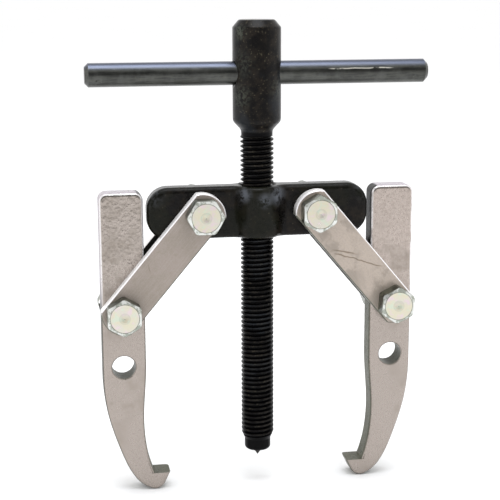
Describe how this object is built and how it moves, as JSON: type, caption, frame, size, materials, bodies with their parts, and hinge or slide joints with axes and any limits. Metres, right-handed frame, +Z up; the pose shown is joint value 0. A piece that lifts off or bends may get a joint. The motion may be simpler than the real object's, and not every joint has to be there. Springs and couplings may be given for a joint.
{
  "type": "gear puller",
  "caption": "Jaw puller: threaded forcing screw with sliding cross handle, forged yoke, flat links and hooked jaws that draw gears off shafts.",
  "frame": {"origin": "point of the centre pin at the foot of the forcing screw", "axes": "+Z up along the forcing screw, +X along the yoke to the right seen from the bolt heads, +Y away from the bolt heads"},
  "size_m": [0.144, 0.0372, 0.2002],
  "materials": {
    "black_screw": "black oxide, oily satin",
    "black_bar": "black oxide, rubbed satin",
    "black_yoke": "black oxide on a forging, satin",
    "pin_steel": "hardened, ground",
    "zinc_link": "zinc plated, satin",
    "zinc_jaw": "zinc plated on a forging, satin",
    "yellow_zinc": "yellow passivated zinc, satin"
  },
  "bodies": {
    "yoke": {"yoke": "black_yoke"},
    "center_pin": {"center_pin": "pin_steel"},
    "forcing_screw": {"forcing_screw": "black_screw"},
    "handle_bar": {"handle_bar": "black_bar"},
    "left_links": {"left_front_link": "zinc_link", "left_rear_link": "zinc_link", "left_upper_bolt": "yellow_zinc", "left_upper_nut": "yellow_zinc", "left_lower_bolt": "yellow_zinc", "left_lower_nut": "yellow_zinc"},
    "left_jaw": {"left_jaw": "zinc_jaw"},
    "right_links": {"right_front_link": "zinc_link", "right_rear_link": "zinc_link", "right_upper_bolt": "yellow_zinc", "right_upper_nut": "yellow_zinc", "right_lower_bolt": "yellow_zinc", "right_lower_nut": "yellow_zinc"},
    "right_jaw": {"right_jaw": "zinc_jaw"}
  },
  "joints": [
    {"name": "screw_feed", "type": "slide", "parent": "yoke", "child": "center_pin", "axis": [0, 0, 1], "range_m": [-0.0181, 0.0781]},
    {"name": "screw_turn", "type": "hinge", "parent": "center_pin", "child": "forcing_screw", "pos_m": [0, 0, 0], "axis": [0, 0, 1], "range_deg": [-3240, 14040]},
    {"name": "handle_slide", "type": "slide", "parent": "forcing_screw", "child": "handle_bar", "axis": [1, 0, 0], "range_m": [-0.055, 0.054]},
    {"name": "left_link_swing", "type": "hinge", "parent": "yoke", "child": "left_links", "pos_m": [-0.024, 0, 0.1096], "axis": [0, 1, 0], "range_deg": [-8, 40]},
    {"name": "left_jaw_swing", "type": "hinge", "parent": "left_links", "child": "left_jaw", "pos_m": [-0.0582, 0, 0.0689], "axis": [0, -1, 0], "range_deg": [-2, 22]},
    {"name": "right_link_swing", "type": "hinge", "parent": "yoke", "child": "right_links", "pos_m": [0.024, 0, 0.1096], "axis": [0, -1, 0], "range_deg": [-8, 40]},
    {"name": "right_jaw_swing", "type": "hinge", "parent": "right_links", "child": "right_jaw", "pos_m": [0.0582, 0, 0.0689], "axis": [0, 1, 0], "range_deg": [-2, 22]}
  ],
  "couplings": [
    {"joint": "screw_feed", "follows": "screw_turn", "m_per_rad": 0.00031831}
  ]
}
